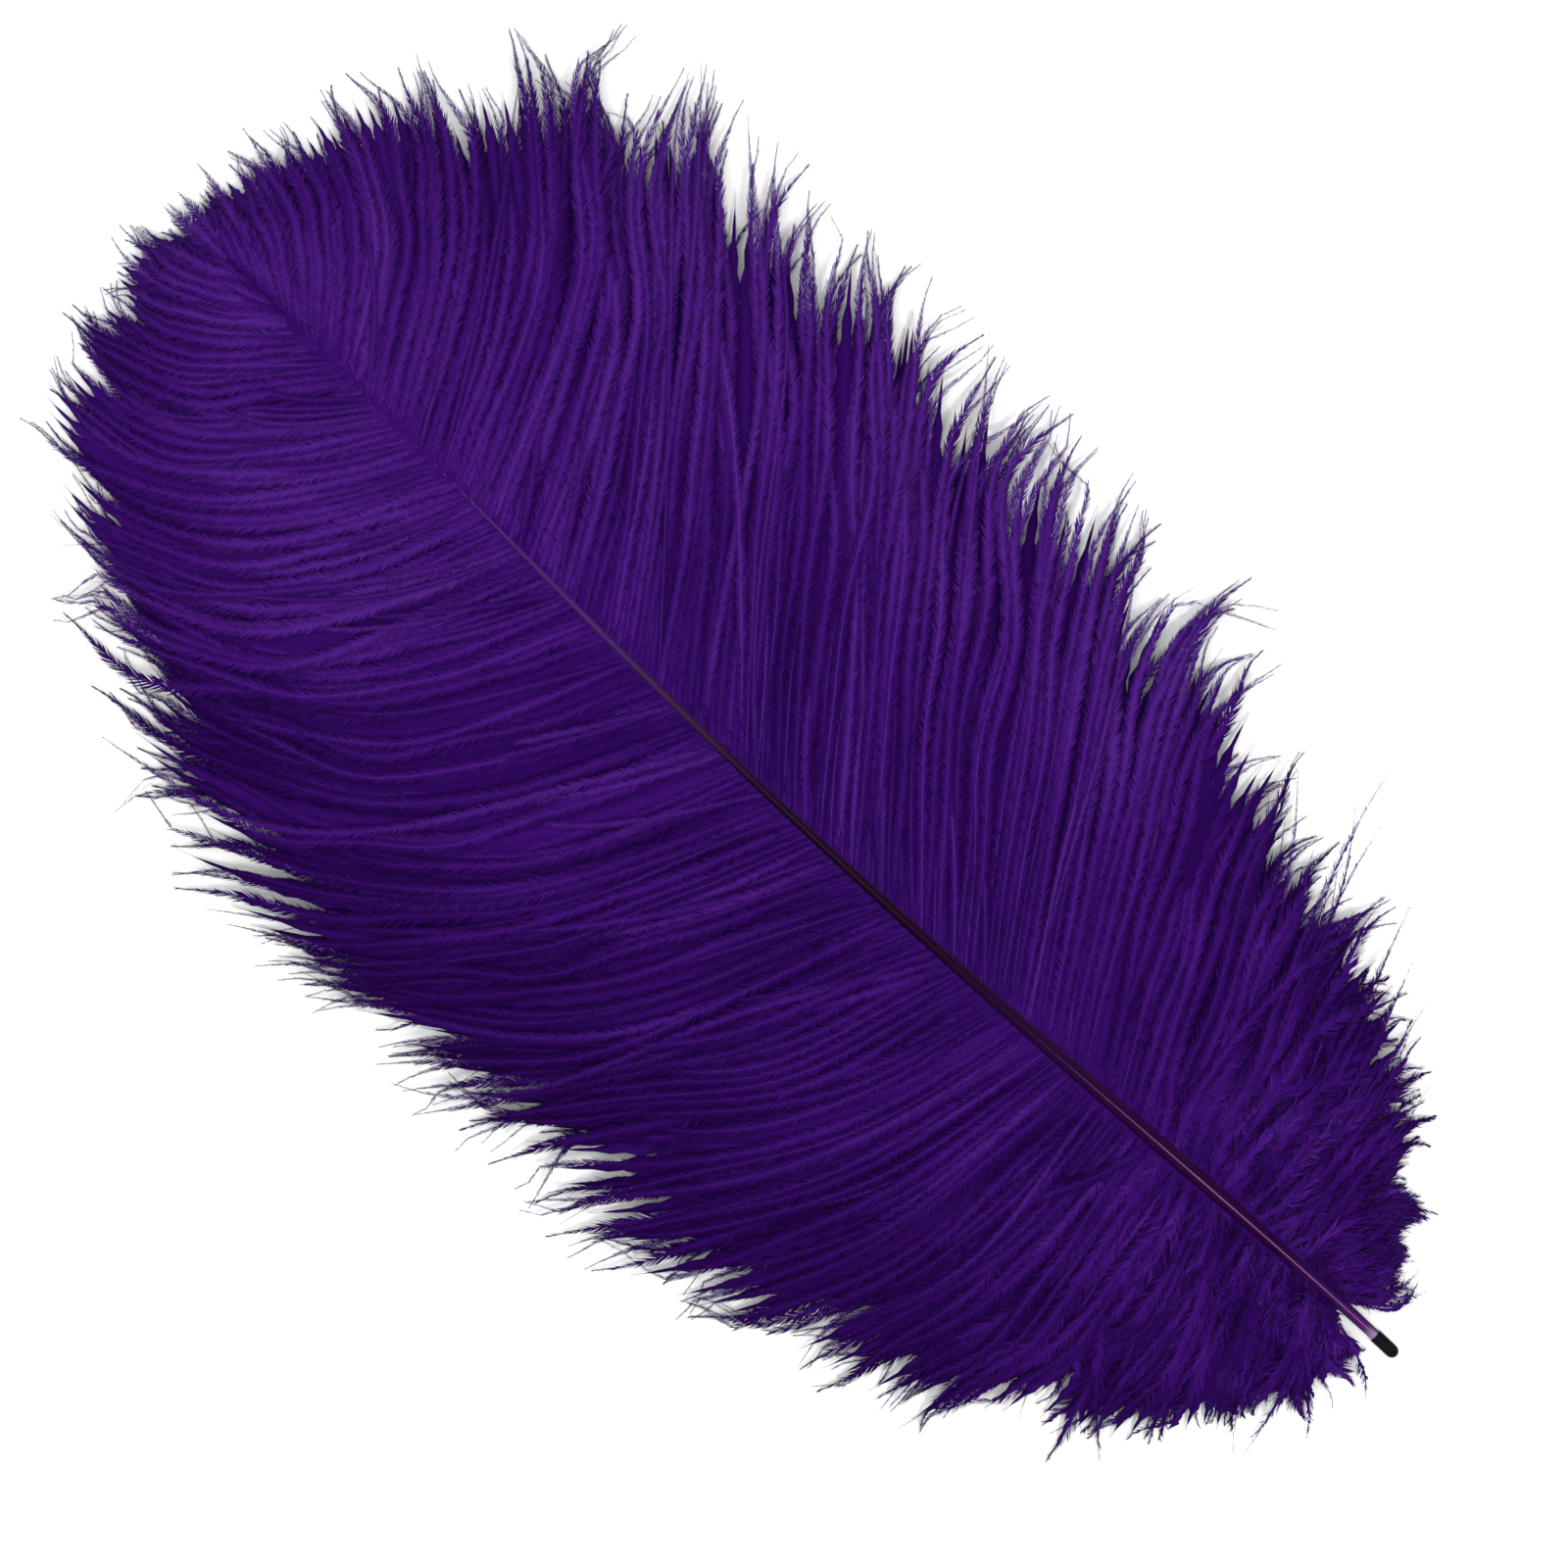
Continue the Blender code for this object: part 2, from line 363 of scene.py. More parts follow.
# Loose curls at the lower end of the down, beside the bare quill.
WISPS = {
    "count": 20,
    "roots": (14.5, 30),
    "in_order": False,
    "root_turn": even(-10, 35),
    "tip_turn": even(-75, 15),
    "stretch": even(0.7, 1.35),
    "swing": even(10, 35),
    "cycles": even(0.5, 1.1),
    "offset": even(-0.8, 1.0),
    "tone": normal(0.3, 0.1),
    "spacing": 0.3,
    "width": 0.2,
    "fullness": even(0.35, 0.6),
}

# Fine long barbs that reach out of the far side's lobe, side by side.
PLUMES = {
    "count": 16,
    "roots": (30, 60),
    "in_order": True,
    "root_turn": normal(-4, 6),
    "tip_turn": even(-36, -6),
    "stretch": even(1.15, 1.42),
    "swing": even(-6, 10),
    "cycles": even(0.5, 1.0),
    "offset": even(-0.4, 1.0),
    "tone": normal(0.35, 0.1),
    "spacing": 0.3,
    "width": 0.2,
    "fullness": even(0.3, 0.5),
}

# Each side with its word in the pieces' names, and its loose barbs in the order of their draws.
SIDES = (
    {"side": NEAR, "word": "near", "keys": LOCK_KEYS_NEAR, "loose": (DOWN, TUFT, WISPS)},
    {"side": FAR, "word": "far", "keys": LOCK_KEYS_FAR, "loose": (DOWN, TUFT, WISPS, PLUMES)},
)


def values_at(keys, distances):
    """Columns of a key table at distances in millimetres, on one smooth curve through its rows."""
    table = np.array(keys, dtype=float)
    distances = np.atleast_1d(distances)
    last = len(table) - 1
    index = np.clip(np.searchsorted(table[:, 0], distances, side="left") - 1, 0, last - 1)
    before = table[np.maximum(index - 1, 0)]
    low = table[index]
    high = table[index + 1]
    after = table[np.minimum(index + 2, last)]
    span = high[:, :1] - low[:, :1]
    share = np.clip((distances[:, None] - low[:, :1]) / span, 0, 1)
    slope_low = (high - before) / (high[:, :1] - before[:, :1]) * span
    slope_high = (after - low) / (after[:, :1] - low[:, :1]) * span
    rise = high - low
    cubic = slope_low + slope_high - 2 * rise
    square = 3 * rise - 2 * slope_low - slope_high
    return (low + share * (slope_low + share * (square + share * cubic)))[:, 1:]


def smooth(share):
    share = np.clip(share, 0, 1)
    return share * share * (3 - 2 * share)


def unit(vectors):
    return vectors / np.maximum(np.linalg.norm(vectors, axis=-1, keepdims=True), 1e-12)


def frame_shift():
    """From shaft coordinates, with the quill end at the origin, to the frame."""
    return np.array((QUILL_LOW.x, (QUILL_LOW.y + QUILL_HIGH.y) / 2, 0.0))


def shaft_points(distances):
    """The shaft's axis: a slight bow to +Y and an arch over the surface."""
    travel = np.clip((distances - STRAIGHT_LENGTH) / (SHAFT_LENGTH - STRAIGHT_LENGTH), 0, 1)
    bow = BOW * np.maximum(np.sin(math.pi * travel), 0) ** BOW_POWER
    height = values_at(SHAFT_KEYS, distances / MM)[:, 1] * MM
    height = np.where(distances < STRAIGHT_LENGTH, SHAFT_KEYS[0][2] * MM, height)
    return np.stack((distances, bow, height), axis=1)


def shaft_widths(distances):
    return values_at(SHAFT_KEYS, distances / MM)[:, 0] * MM


def new_object(name, points, faces):
    mesh = bpy.data.meshes.new(name)
    mesh.vertices.add(len(points))
    mesh.vertices.foreach_set("co", np.ascontiguousarray(points, dtype=np.float32).ravel())
    corners = faces.shape[1]
    mesh.loops.add(faces.size)
    mesh.loops.foreach_set("vertex_index", faces.astype(np.int32).ravel())
    mesh.polygons.add(len(faces))
    mesh.polygons.foreach_set("loop_start", np.arange(0, faces.size, corners, dtype=np.int32))
    mesh.polygons.foreach_set("use_smooth", np.full(len(faces), True))
    mesh.update(calc_edges=True)
    made = bpy.data.objects.new(name, mesh)
    bpy.context.scene.collection.objects.link(made)
    return made


def add_attribute(mesh, name, values):
    made = mesh.attributes.new(name, "FLOAT", "POINT")
    made.data.foreach_set("value", values.astype(np.float32))


def add_colour_map(mesh, places, faces):
    """A UV map laid out by what the colour depends on, so that faces which share a place share a colour."""
    layer = mesh.uv_layers.new(name="OFBake")
    layer.data.foreach_set("uv", places[faces.ravel()].astype(np.float32).ravel())


class Nodes:
    """A short way to build a material's node tree."""

    def __init__(self, name):
        self.material = bpy.data.materials.new(name)
        self.material.use_nodes = True
        self.tree = self.material.node_tree
        self.shader = self.tree.nodes["Principled BSDF"]

    def add(self, kind, **settings):
        node = self.tree.nodes.new(kind)
        for key, value in settings.items():
            setattr(node, key, value)
        return node

    def link(self, source, target):
        self.tree.links.new(source, target)

    def attribute(self, name):
        return self.add("ShaderNodeAttribute", attribute_name=name).outputs["Fac"]

    def ramp(self, value, stops):
        node = self.add("ShaderNodeValToRGB")
        elements = node.color_ramp.elements
        while len(elements) < len(stops):
            elements.new(0.5)
        for element, (position, colour) in zip(elements, stops):
            element.position = position
            element.color = (*colour, 1)
        self.link(value, node.inputs["Fac"])
        return node.outputs["Color"]

    def mix(self, kind, amount, first, second):
        node = self.add("ShaderNodeMix", data_type="RGBA", blend_type=kind)
        if isinstance(amount, float):
            node.inputs["Factor"].default_value = amount
        else:
            self.link(amount, node.inputs["Factor"])
        self.link(first, node.inputs["A"])
        self.link(second, node.inputs["B"])
        return node.outputs["Result"]

    def constants(self, **values):
        for key, value in values.items():
            self.shader.inputs[key.replace("_", " ")].default_value = value


def barbule_material():
    """Matte violet barbules: a tone of its own for each barb, greyer and darker at the vane's edge, with a
    painted highlight along each barb's spine and painted shade towards the barbules' tips.
    """
    nodes = Nodes("barbules")
    tone = nodes.ramp(nodes.attribute("tone"), (
        (0.0, (0.016, 0.0009, 0.063)),
        (0.5, (0.034, 0.0036, 0.121)),
        (1.0, (0.057, 0.0096, 0.172)),
    ))
    along = nodes.ramp(nodes.attribute("along"), (
        (0.0, (1.0, 1.0, 1.0)),
        (0.88, (0.98, 0.98, 0.98)),
        (1.0, (0.68, 0.72, 0.70)),
    ))
    # reach paints light and shade: a painted highlight along the barb's spine, painted shade out at the
    # barbules' tips.
    reach = nodes.ramp(nodes.attribute("reach"), (
        (0.0, (1.28, 1.42, 1.22)),
        (0.35, (1.08, 1.10, 1.06)),
        (0.7, (0.90, 0.86, 0.93)),
        (1.0, (0.74, 0.66, 0.80)),
    ))
    colour = nodes.mix("MULTIPLY", 1.0, nodes.mix("MULTIPLY", 1.0, tone, along), reach)
    nodes.link(colour, nodes.shader.inputs["Base Color"])
    nodes.constants(
        Roughness=0.8,
        Specular_IOR_Level=0.06,
        Specular_Tint=(0.6, 0.2, 1.0, 1.0),
        Sheen_Weight=0.06,
        Sheen_Roughness=0.5,
        Sheen_Tint=(0.5, 0.2, 1.0, 1.0),
    )
    return nodes.material


def spine_material():
    """The barbs' spines, glossier than the barbules: few are pale, most are hardly seen."""
    nodes = Nodes("barb_spines")
    along = nodes.ramp(nodes.attribute("along"), (
        (0.00, (0.048, 0.013, 0.138)),
        (0.50, (0.068, 0.019, 0.188)),
        (0.80, (0.052, 0.014, 0.145)),
        (1.00, (0.015, 0.005, 0.042)),
    ))
    tone = nodes.ramp(nodes.attribute("tone"), (
        (0.0, (0.40, 0.30, 0.50)),
        (1.0, (1.35, 1.45, 1.25)),
    ))
    colour = nodes.mix("MULTIPLY", 1.0, along, tone)
    nodes.link(colour, nodes.shader.inputs["Base Color"])
    nodes.constants(Roughness=0.6, Specular_IOR_Level=0.12, Specular_Tint=(0.7, 0.4, 1.0, 1.0))
    return nodes.material


def lock_draws(seed):
    """What the solids draw for one side's locks: root distances, turns at root and tip, and stretch."""
    draw = random.Random(seed)
    rows = []
    for index in range(LOCKS_PER_SIDE):
        root = FIRST_ROOT + (LAST_ROOT - FIRST_ROOT) * index / (LOCKS_PER_SIDE - 1)
        root_turn = draw.uniform(-HEADING_SPREAD, HEADING_SPREAD) / 2
        tip_turn = draw.uniform(-HEADING_SPREAD, HEADING_SPREAD)
        stretch = 1 + draw.uniform(-LENGTH_SPREAD, LENGTH_SPREAD)
        rows.append((root, root_turn, tip_turn, stretch))
    return np.array(rows).T


def drift(draw, distances, spacing):
    """A smooth random course along the shaft, about -1 to 1, that turns every few spacings."""
    count = int((LAST_ROOT + 4 * spacing) / spacing)
    knots = draw.normal(0, 0.6, count)
    place = np.clip(distances / spacing, 0, count - 2)
    low = place.astype(int)
    return knots[low] + (knots[low + 1] - knots[low]) * smooth(place - low)


def wildness(roots):
    """How far the barbs stray from their course: much in the down near the quill, not at all beyond it."""
    return smooth((WILD_END - roots) / WILD_FADE)


def past(roots, start, length):
    """0 up to start and 1 from there on by length, both in millimetres."""
    return smooth((roots - start * MM) / (length * MM))


def middle_part(roots):
    """1 along the middle of the shaft, 0 in the down and towards the tip."""
    return past(roots, *MIDDLE_RISE) * (1 - past(roots, *MIDDLE_FALL))


def cover(roots):
    """How far the barbs' roots close over the shaft: not at all near the quill, almost wholly at the tip."""
    return MOST_COVER * past(roots, *COVER_RISE)


def course_lengths(course):
    return np.linalg.norm(np.diff(course, axis=1), axis=2).sum(axis=1)


def level_across(heading):
    """Level unit vectors at right angles to headings."""
    return unit(np.stack((-heading[..., 1], heading[..., 0], np.zeros(heading.shape[:-1])), axis=-1))


def sine(waves, share):
    """A sine along each course, from its swing, its cycles and its phase."""
    swing, cycles, phase = waves
    return swing[:, None] * np.sin(2 * math.pi * (cycles[:, None] * share + phase[:, None]))


def changed(wave, changes, roots):
    """A wave's swing, cycles and phase at the roots, each its mean and its change there."""
    return [mean + spread * change(roots) for (mean, spread), change in zip(wave, changes)]


def plan_courses(side, keys, roots, turns, stretch, waves, curl=0.0, ripple=None):
    """Courses of barbs seen from above, as points at equal steps along each.

    turns holds what is added to the headings at root and tip, waves and ripple each the swing, cycles and
    phase of a sine that is added along the course, and curl the turn of the last stretch.
    """
    rows = values_at(keys, roots / MM)
    middle = (np.arange(PATH_POINTS - 1) + 0.5) / (PATH_POINTS - 1)
    first = rows[:, 0] + turns[0]
    last = rows[:, 1] + turns[1]
    heading = first[:, None] + (last - first)[:, None] * middle ** HEADING_POWER
    heading += sine(waves, middle) * np.sqrt(middle)
    if ripple is not None:
        heading += sine(ripple, middle) * middle
    heading += np.reshape(curl, (-1, 1)) * smooth((middle - CURL_START) / (1 - CURL_START))
    heading = np.radians(heading)
    step = (rows[:, 2] * MM * stretch / (PATH_POINTS - 1))[:, None]
    start = shaft_points(roots)
    sideways = (ROOT_ASIDE + ROOT_ASIDE_COVERED * cover(roots)) * shaft_widths(roots)
    course = np.zeros((len(roots), PATH_POINTS, 2))
    course[:, 1:, 0] = np.cumsum(np.cos(heading) * step, axis=1)
    course[:, 1:, 1] = side * np.cumsum(np.sin(heading) * step, axis=1)
    course[:, :, 0] += start[:, None, 0]
    course[:, :, 1] += (start[:, 1] + side * sideways)[:, None]
    return course


def crowded_roots(side, keys, count):
    """Roots of a side's barbs: closer together where the vane fans out."""
    distances = np.linspace(FIRST_ROOT, LAST_ROOT, FAN_SAMPLES)
    none = np.zeros(FAN_SAMPLES)
    course = plan_courses(side, keys, distances, (none, none), none + 1, (none, none, none))
    outer = course[:, PATH_POINTS * 2 // 3]
    heading = unit(outer - course[:, PATH_POINTS // 2])
    gap = np.gradient(outer, axis=0)
    width = np.abs(gap[:, 0] * heading[:, 1] - gap[:, 1] * heading[:, 0])
    width /= distances[1] - distances[0]
    crowd = np.clip(width, *CROWD_RANGE) ** CROWD_POWER
    blur = np.ones(FAN_BLUR) / FAN_BLUR
    crowd = np.convolve(np.pad(crowd, FAN_BLUR // 2, mode="edge"), blur, mode="valid")
    total = np.cumsum(crowd)
    return np.interp((np.arange(count) + 0.5) / count * total[-1], total, distances)


def heights(roots, offset):
    """Height along each barb: out from the shaft, up over an arch and down to the surface."""
    share = np.linspace(0, 1, PATH_POINTS)[None, :]
    rise = (ROOT_RISE + ROOT_RISE_COVERED * cover(roots)) * shaft_widths(roots)
    start = shaft_points(roots)[:, 2:] + rise[:, None]
    lift = LOCK_LIFT * np.sin(math.pi * share ** 0.8)
    own = offset[:, None] * smooth(share / OFFSET_SHARE) * (1 - 0.6 * share)
    height = start + (TIP_HEIGHT - start) * share ** LOCK_DROOP_POWER + lift + own
    return np.maximum(height, LOWEST_HEIGHT)


def shortened_to_fit(course, room):
    """How much of each course, from its root, stays within half the box's width of the middle line."""
    inside = np.abs(course[:, :, 1] + frame_shift()[1]) < room
    return np.where(inside.all(axis=1), 1.0, np.argmin(inside, axis=1) / (PATH_POINTS - 1))


def trimmed(course, kept):
    """Courses resampled over only the first part of their length, where kept is under 1."""
    place = np.linspace(0, 1, PATH_POINTS)[None, :] * kept[:, None] * (PATH_POINTS - 1)
    low = np.minimum(place.astype(int), PATH_POINTS - 2)
    part = (place - low)[:, :, None]
    rows = np.arange(len(course))[:, None]
    return course[rows, low] * (1 - part) + course[rows, low + 1] * part


class SideBarbs:
    """All barbs of one side, drawn in groups and kept as plain arrays."""

    def __init__(self, side, keys, seed):
        self.side = side
        self.keys = keys
        self.draw = np.random.default_rng(seed)
        self.groups = []
        rows = lock_draws(LOCK_SEED + side)
        self.lock_root, self.lock_root_turn, self.lock_tip_turn, self.lock_stretch = rows
        self.s_changes = [self.slow_change(spacing) for spacing in S_SPACINGS]
        self.lean = self.slow_change(LEAN_SPACING)
        self.ripple_changes = [self.slow_change(spacing) for spacing in RIPPLE_SPACINGS]

    def slow_change(self, spacing):
        """A random course along the shaft, as a function of roots."""
        seed = self.draw.integers(1 << 30)
        return lambda roots: drift(np.random.default_rng(seed), roots, spacing)

    def stretch_of_locks(self, roots):
        return np.interp(roots, self.lock_root, self.lock_stretch)

    def shared_turns(self, roots, part=1.0):
        """Headings that neighbours share: what the locks draw, and a slow lean of the whole stretch."""
        lean = part * self.lean(roots)
        root_turn = np.interp(roots, self.lock_root, self.lock_root_turn) + LEANS[0] * lean
        tip_turn = np.interp(roots, self.lock_root, self.lock_tip_turn) + LEANS[1] * lean
        return root_turn, tip_turn

    def shared_waves(self, roots):
        """An S that neighbours share: outwards at first, then towards the tip, then outwards again."""
        swing, cycles, phase = changed(S_WAVE, self.s_changes, roots)
        return swing * (1 + 0.7 * wildness(roots)), cycles, phase

    def ripples(self, roots):
        """Short waves that only a few neighbours share."""
        return changed(RIPPLE_WAVE, self.ripple_changes, roots)

    def curls(self, roots):
        """How far the ends turn outwards: most in the middle of the far side."""
        least, extra, rise, fall = CURLS[self.side]
        return least + extra * past(roots, *rise) * (1 - past(roots, *fall))

    def fades(self, roots):
        """How much darker a barb gets towards its end, as tone: painted shade on the near side, where layers
        shade each other. The far side's middle gets paler instead.
        """
        least, extra, shift = END_SHADES[self.side]
        tip = END_SHADE_AT_TIP * past(roots, *END_SHADE_RISE)
        return tip + least + extra * middle_part(roots - shift * MM)

    def blooms(self, roots):
        """How much paler the barbs are a third of the way out, as tone: a painted sheen on the near side,
        towards the tip.
        """
        return PAINTED_SHEENS[self.side] * np.exp(-((roots - 255 * MM) / (32 * MM)) ** 2)

    def add_group(self, roots, course, offset, **traits):
        height = heights(roots, offset)
        group = {"root": roots, "course": np.concatenate((course, height[:, :, None]), axis=2)}
        for name, value in traits.items():
            group[name] = np.broadcast_to(np.asarray(value, dtype=float), roots.shape)
        self.groups.append(group)

    def own_courses(self, roots, top, stretch):
        """The courses that the vane's barbs would take one by one."""
        draw = self.draw
        count = len(roots)
        wild = wildness(roots)
        looser = 1 + 2 * wild
        root_turn, tip_turn = self.shared_turns(roots, np.where(top, *TURN_PARTS))
        root_turn = root_turn + draw.normal(0, 1.8, count) * looser
        tip_turn = tip_turn + draw.normal(0, TIP_TURN_SPREADS[self.side], count) * (1 + 1.5 * wild)
        swing, cycles, phase = self.shared_waves(roots)
        swing = swing * np.where(top, *WAVE_PARTS) + draw.normal(0, 3.0, count) * looser
        cycles = cycles + draw.normal(0, 0.1, count)
        phase = phase + draw.normal(0, 0.06, count) * looser
        curl = self.curls(roots) + draw.normal(0, 12, count)
        turns = (root_turn, tip_turn)
        waves = (swing, cycles, phase)
        return plan_courses(self.side, self.keys, roots, turns, stretch, waves, curl, self.ripples(roots))

    def leader_courses(self, clump_root, clump, stretch, wild):
        """The courses of the clumps that the vane's barbs are drawn to, and how far each turns outwards."""
        draw = self.draw
        roots = clump_root[clump]
        root_turn, tip_turn = self.shared_turns(roots)
        own_turn = draw.normal(0, 10, len(clump_root))[clump] * (1 + wild)
        curl = self.curls(roots) + draw.normal(0, 18, len(clump_root))[clump]
        turns = (root_turn, tip_turn + own_turn)
        waves = self.shared_waves(roots)
        course = plan_courses(self.side, self.keys, roots, turns, stretch, waves, curl, self.ripples(roots))
        return course, own_turn

    def add_vane(self):
        """The vane's own barbs: even at the shaft, drawn together in pointed clumps at the edge."""
        draw = self.draw
        side = self.side
        count = BARBS_PER_SIDE
        roots = crowded_roots(side, self.keys, count) + draw.uniform(-ROOT_JITTER, ROOT_JITTER, count) * MM
        top = np.resize(TOP_PATTERN, count) > 0
        wild = wildness(roots)

        sizes = draw.choice(CLUMP_SIZES, size=count, p=CLUMP_SHARES[side])
        clump = np.repeat(np.arange(count), sizes)[:count]
        clumps = clump.max() + 1
        clump_root = np.array([roots[clump == number].mean() for number in range(clumps)])
        spread = CLUMP_SPREADS[side]
        clump_stretch = MEAN_STRETCH + draw.uniform(-spread, spread, clumps)
        clump_stretch += EXTRA_STRETCH * draw.uniform(0, 1, clumps) ** 3
        stretch = np.minimum(self.stretch_of_locks(roots) * clump_stretch[clump], LONGEST_STRETCH)
        top_stretch = 1 - np.abs(draw.normal(0, 0.03, count))
        stretch *= np.where(top, top_stretch, draw.uniform(0.90, 0.99, count))
        stretch += np.where(top, 0, UNDER_EXTRAS[side])

        own = self.own_courses(roots, top, stretch)
        leader, leader_turn = self.leader_courses(clump_root, clump, stretch, wild)
        room = CAD_BOX[1][1] - EDGE_ROOM
        fits = np.minimum(shortened_to_fit(own, room), shortened_to_fit(leader, room))
        fits *= 1 - OUTWARD_LOSS * wild * np.maximum(leader_turn, 0)
        joining = draw.uniform(*CLUMP_ENDS[side], clumps)[clump] * MM
        begin = 1 - np.minimum(joining / course_lengths(own), 0.6)
        top_pull = draw.uniform(*TOP_PULL, count)
        strength = np.where(top, top_pull, draw.uniform(*UNDER_PULL, count))
        share = np.linspace(0, 1, PATH_POINTS)[None, :]
        pull = strength[:, None] * smooth((share - begin[:, None]) / (1 - begin[:, None]))
        early_pull = np.where(top, EARLY_PULL, 0.0)[:, None] * smooth((share - 0.1) / 0.3)
        course = own + (leader - own) * np.maximum(pull, early_pull)[:, :, None]

        clump_height = draw.normal(0, 0.5, clumps)[clump]
        top_offset = draw.normal(*TOP_OFFSET, count)
        offset = np.where(top, top_offset, draw.normal(*UNDER_OFFSET, count)) + clump_height
        tone = VANE_TONE + TIP_TONE * past(roots, *TONE_RISE)
        tone = tone + draw.normal(0, CLUMP_TONE_SPREAD, clumps)[clump]
        tone = tone + draw.normal(0, BARB_TONE_SPREAD, count)
        # Painted shade on the under barbs, which lie below the top ones; less of it where the barbs close
        # over the shaft.
        under_tone = tone - UNDER_PAINTED_SHADE + 0.15 * cover(roots)
        self.add_group(
            roots, trimmed(course, fits), offset * MM,
            tone=np.clip(np.where(top, tone, under_tone), 0, 1),
            fade=self.fades(roots),
            bloom=self.blooms(roots),
            spacing=np.where(top, *BARBULE_SPACINGS) * MM,
            width=np.where(top, *BARBULE_WIDTHS) * MM,
            fullness=np.where(top, *BARBULE_FULLNESS),
        )

    def add_strays(self):
        """Single barbs that have slipped out of line and lie across the others."""
        draw = self.draw
        count = STRAYS[self.side]
        roots = np.sort(draw.uniform(FIRST_ROOT + 8 * MM, LAST_ROOT - 12 * MM, count))
        root_turn, tip_turn = self.shared_turns(roots)
        swing = self.shared_waves(roots)[0]
        own_turn = draw.normal(-3, 17, count)
        turns = (root_turn + draw.normal(0, 4, count), tip_turn + own_turn)
        stretch = self.stretch_of_locks(roots) * draw.uniform(0.75, 1.12, count)
        stretch *= 1 - OUTWARD_LOSS * np.maximum(own_turn, 0)
        stretch = np.minimum(stretch, LONGEST_STRAY)
        swing = swing * draw.uniform(0.3, 1.8, count)
        waves = (swing, draw.uniform(0.5, 1.2, count), draw.uniform(0, 1, count))
        curl = draw.uniform(-12, 26, count)
        course = plan_courses(self.side, self.keys, roots, turns, stretch, waves, curl)
        self.add_group(
            roots, trimmed(course, shortened_to_fit(course, CAD_BOX[1][1] - EDGE_ROOM)),
            draw.uniform(0.6, 2.2, count) * MM,
            tone=np.clip(draw.normal(0.6, 0.15, count) - 0.25 * wildness(roots), 0, 1),
            fade=self.fades(roots),
            bloom=0.0,
            spacing=0.24 * MM,
            width=0.24 * MM,
            fullness=draw.uniform(0.45, 0.8, count),
        )

    def add_loose(self, kind):
        """Loose barbs of one kind, each on a course of its own."""
        draw = self.draw
        count = kind["count"]
        roots = draw.uniform(*kind["roots"], count) * MM
        if kind["in_order"]:
            roots = np.sort(roots)
        turns = (kind["root_turn"](draw, count), kind["tip_turn"](draw, count))
        stretch = kind["stretch"](draw, count)
        waves = (kind["swing"](draw, count), kind["cycles"](draw, count), draw.uniform(0, 1, count))
        self.add_group(
            roots, plan_courses(self.side, self.keys, roots, turns, stretch, waves),
            kind["offset"](draw, count) * MM,
            tone=np.clip(kind["tone"](draw, count), 0, 1),
            fade=0.0,
            bloom=0.0,
            spacing=kind["spacing"] * MM,
            width=kind["width"] * MM,
            fullness=kind["fullness"](draw, count),
        )

    def undercoat(self):
        """Courses and tones of the undercoat's ribbons."""
        draw = self.draw
        roots = crowded_roots(self.side, self.keys, RIBBONS_PER_SIDE)
        count = len(roots)
        turns = self.shared_turns(roots, TURN_PARTS[1])
        swing, cycles, phase = self.shared_waves(roots)
        reach = draw.uniform(*RIBBON_LENGTHS, count) + RIBBON_EXTRAS[self.side]
        stretch = self.stretch_of_locks(roots) * reach
        waves = (swing * WAVE_PARTS[1], cycles, phase)
        course = plan_courses(self.side, self.keys, roots, turns, stretch, waves)
        course = trimmed(course, shortened_to_fit(course, CAD_BOX[1][1] - RIBBON_ROOM))
        course[:, 0] -= RIBBON_UNDER_SHAFT * unit(course[:, 1] - course[:, 0])
        height = heights(roots, draw.normal(-0.1, 0.25, count) * MM)
        # The ribbons' low tone is painted shade, lighter where the barbs close over the shaft.
        tone = 0.16 - 0.05 * wildness(roots) + 0.3 * cover(roots) + draw.normal(0, 0.06, count)
        return np.concatenate((course, height[:, :, None]), axis=2), np.clip(tone, 0, 1)

    def joined(self):
        """All groups as one, in order of root."""
        names = self.groups[0].keys()
        whole = {name: np.concatenate([group[name] for group in self.groups]) for name in names}
        order = np.argsort(whole["root"])
        return {name: values[order] for name, values in whole.items()}


def spine_mesh(course, wild):
    """Three-sided tapering spines along courses of points, thinner in the down."""
    course = course[:, ::2]
    count, rings = course.shape[:2]
    along = np.linspace(0, 1, rings)
    radius = SPINE_TIP_RADIUS + (SPINE_ROOT_RADIUS - SPINE_TIP_RADIUS) * (1 - along) ** SPINE_POWER
    radius = radius[None, :] * (1 - 0.4 * wild[:, None])
    heading = unit(np.gradient(course, axis=1))
    across = level_across(heading)
    up = np.cross(heading, across)
    corners = []
    for corner in range(3):
        angle = math.pi / 2 + corner * 2 * math.pi / 3
        corners.append(course + (across * math.cos(angle) + up * math.sin(angle)) * radius[..., None])
    points = np.stack(corners, axis=2).reshape(-1, 3)
    first = (np.arange(count)[:, None] * rings + np.arange(rings - 1)[None, :]) * 3
    triangles = []
    for corner in range(3):
        following = (corner + 1) % 3
        triangles.append(np.stack((first + corner, first + 3 + corner, first + 3 + following), axis=-1))
        triangles.append(np.stack((first + corner, first + 3 + following, first + following), axis=-1))
    triangles = np.stack(triangles, axis=2).reshape(-1, 3)
    return points, triangles, np.repeat(np.tile(along, count), 3)


